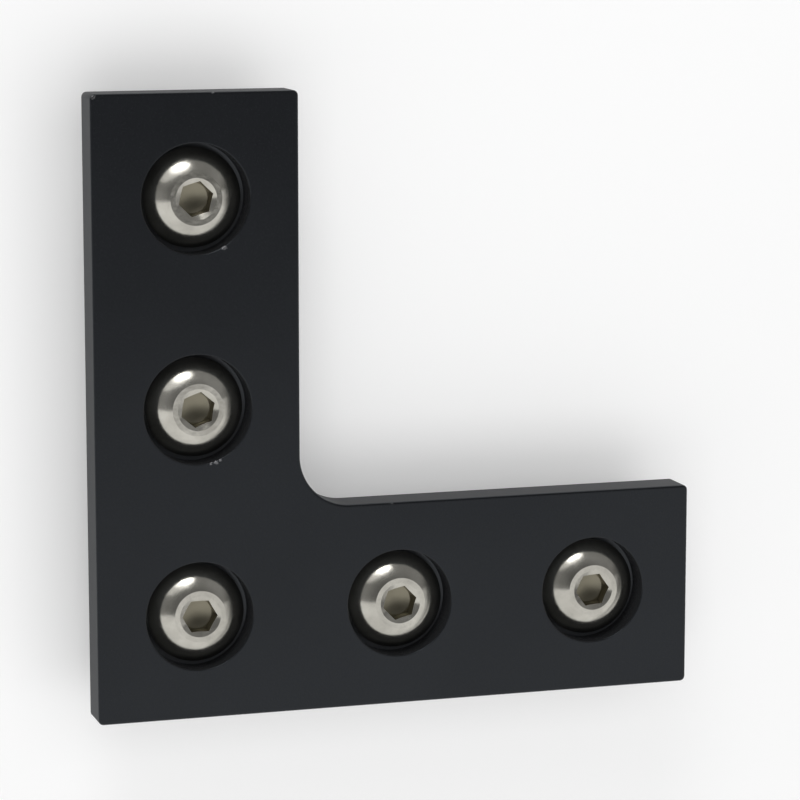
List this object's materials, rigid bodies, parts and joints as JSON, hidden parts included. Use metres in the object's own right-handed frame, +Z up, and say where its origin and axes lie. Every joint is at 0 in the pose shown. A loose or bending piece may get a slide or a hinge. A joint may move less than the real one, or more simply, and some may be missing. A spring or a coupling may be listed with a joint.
{
  "type": "extrusion joining plate",
  "caption": "L-shaped black anodised plate that joins slotted aluminium extrusions at a right angle, with sunk button-head screws and hammer nuts.",
  "frame": {"origin": "on the plate's seating (back) face, at the axis of the corner screw", "axes": "+X along the cross leg, +Y along the upright leg, +Z out of the front face, where the screw heads are sunk; the plate lies flat on the backs of its nuts, with +Z up"},
  "size_m": [0.06, 0.06, 0.0105],
  "materials": {
    "black_anodised_aluminium": "fine matte blasted surface, anodised black",
    "plain_stainless_steel": "cold-formed and tumbled, satin to bright",
    "nickel_plated_steel": "bright nickel plate over a sawn and tumbled blank"
  },
  "bodies": {
    "root": {"joining_plate": "black_anodised_aluminium", "screw_corner": "plain_stainless_steel", "screw_upright_middle": "plain_stainless_steel", "screw_upright_end": "plain_stainless_steel", "screw_cross_middle": "plain_stainless_steel", "screw_cross_end": "plain_stainless_steel", "hammer_nut_corner": "nickel_plated_steel", "hammer_nut_upright_middle": "nickel_plated_steel", "hammer_nut_upright_end": "nickel_plated_steel", "hammer_nut_cross_middle": "nickel_plated_steel", "hammer_nut_cross_end": "nickel_plated_steel"}
  },
  "joints": []
}
